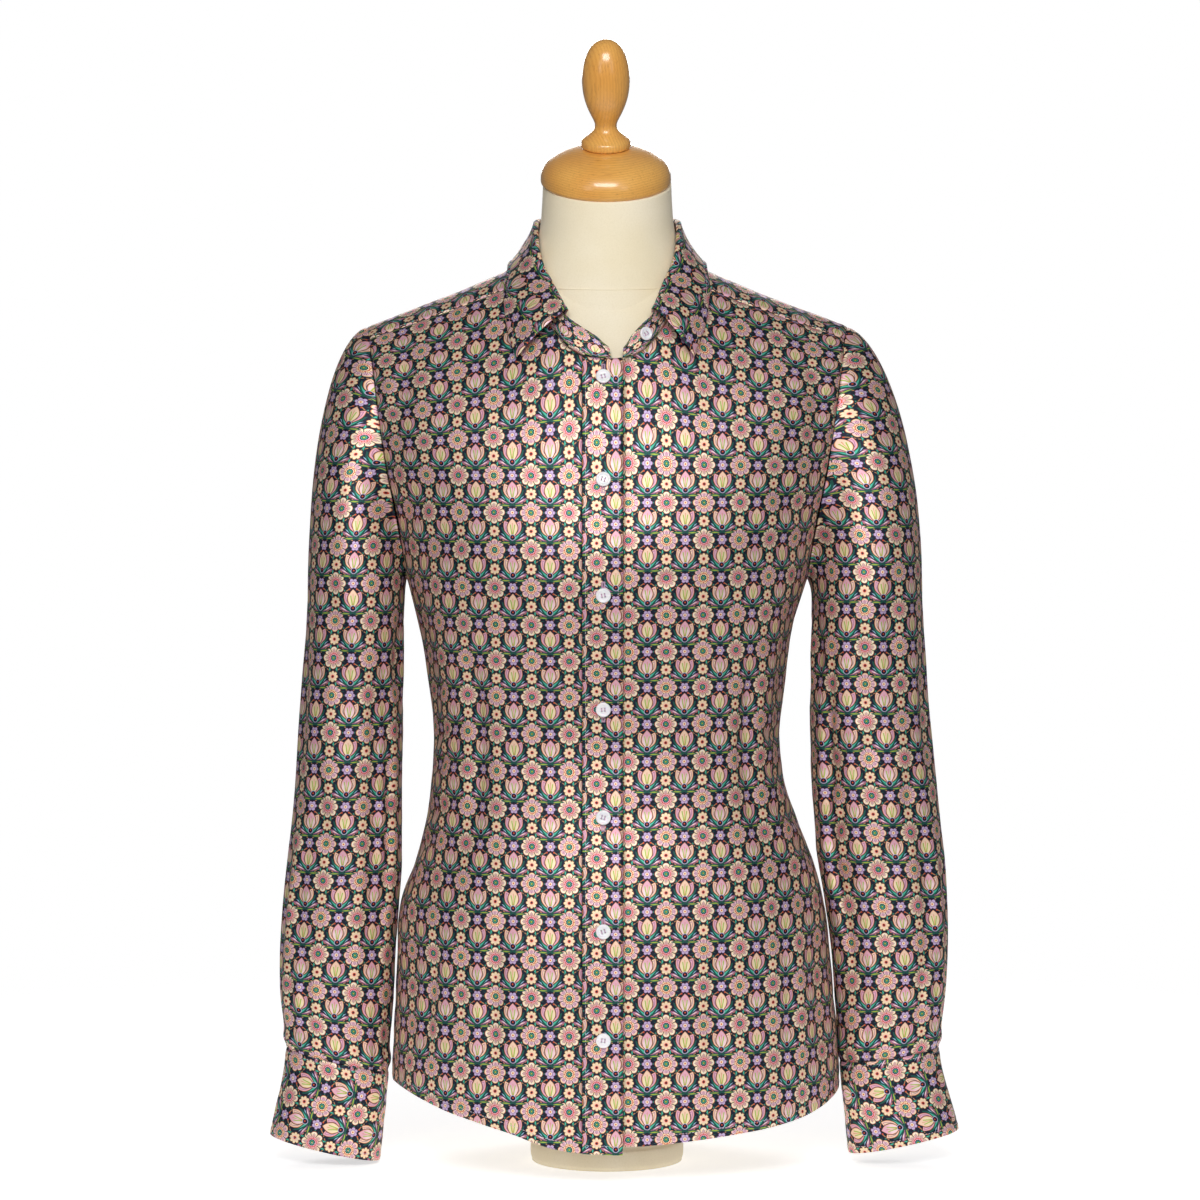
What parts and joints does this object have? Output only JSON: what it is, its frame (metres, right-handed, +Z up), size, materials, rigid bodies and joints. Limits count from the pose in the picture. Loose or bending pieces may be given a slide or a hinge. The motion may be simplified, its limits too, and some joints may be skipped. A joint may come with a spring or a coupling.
{
  "type": "silk shirt on dress form",
  "caption": "Long-sleeved silk shirt with a pointed collar, button front and buttoned cuffs, worn on a limbless dress form with a turned wooden cap and finial.",
  "frame": {"origin": "centre of the plinth's underside, on the surface that the dress form stands on", "axes": "+Z up; the shirt's front faces -Y; +X is towards the wearer's left sleeve"},
  "size_m": [0.5374, 0.2569, 0.8712],
  "materials": {
    "silk": "fine printed silk with a soft sheen, a small flower print on midnight blue",
    "button": "white, pearly, four holes",
    "form_cover": "matt cream jersey, stretched smooth",
    "turned_wood": "turned beech, varnished, honey coloured"
  },
  "bodies": {
    "root": {"front_right": "silk", "front_left": "silk", "band_right": "silk", "band_left": "silk", "back": "silk", "yoke": "silk", "sleeve_right": "silk", "sleeve_left": "silk", "cuff_right": "silk", "cuff_left": "silk", "sleeve_placket_right": "silk", "sleeve_placket_left": "silk", "collar_stand": "silk", "collar_leaf": "silk", "button_front_1": "button", "button_front_2": "button", "button_front_3": "button", "button_front_4": "button", "button_front_5": "button", "button_front_6": "button", "button_front_7": "button", "button_stand": "button", "button_cuff_right": "button", "button_cuff_left": "button", "form_body": "form_cover", "form_plinth": "form_cover", "neck_cap": "turned_wood", "finial": "turned_wood"}
  },
  "joints": []
}
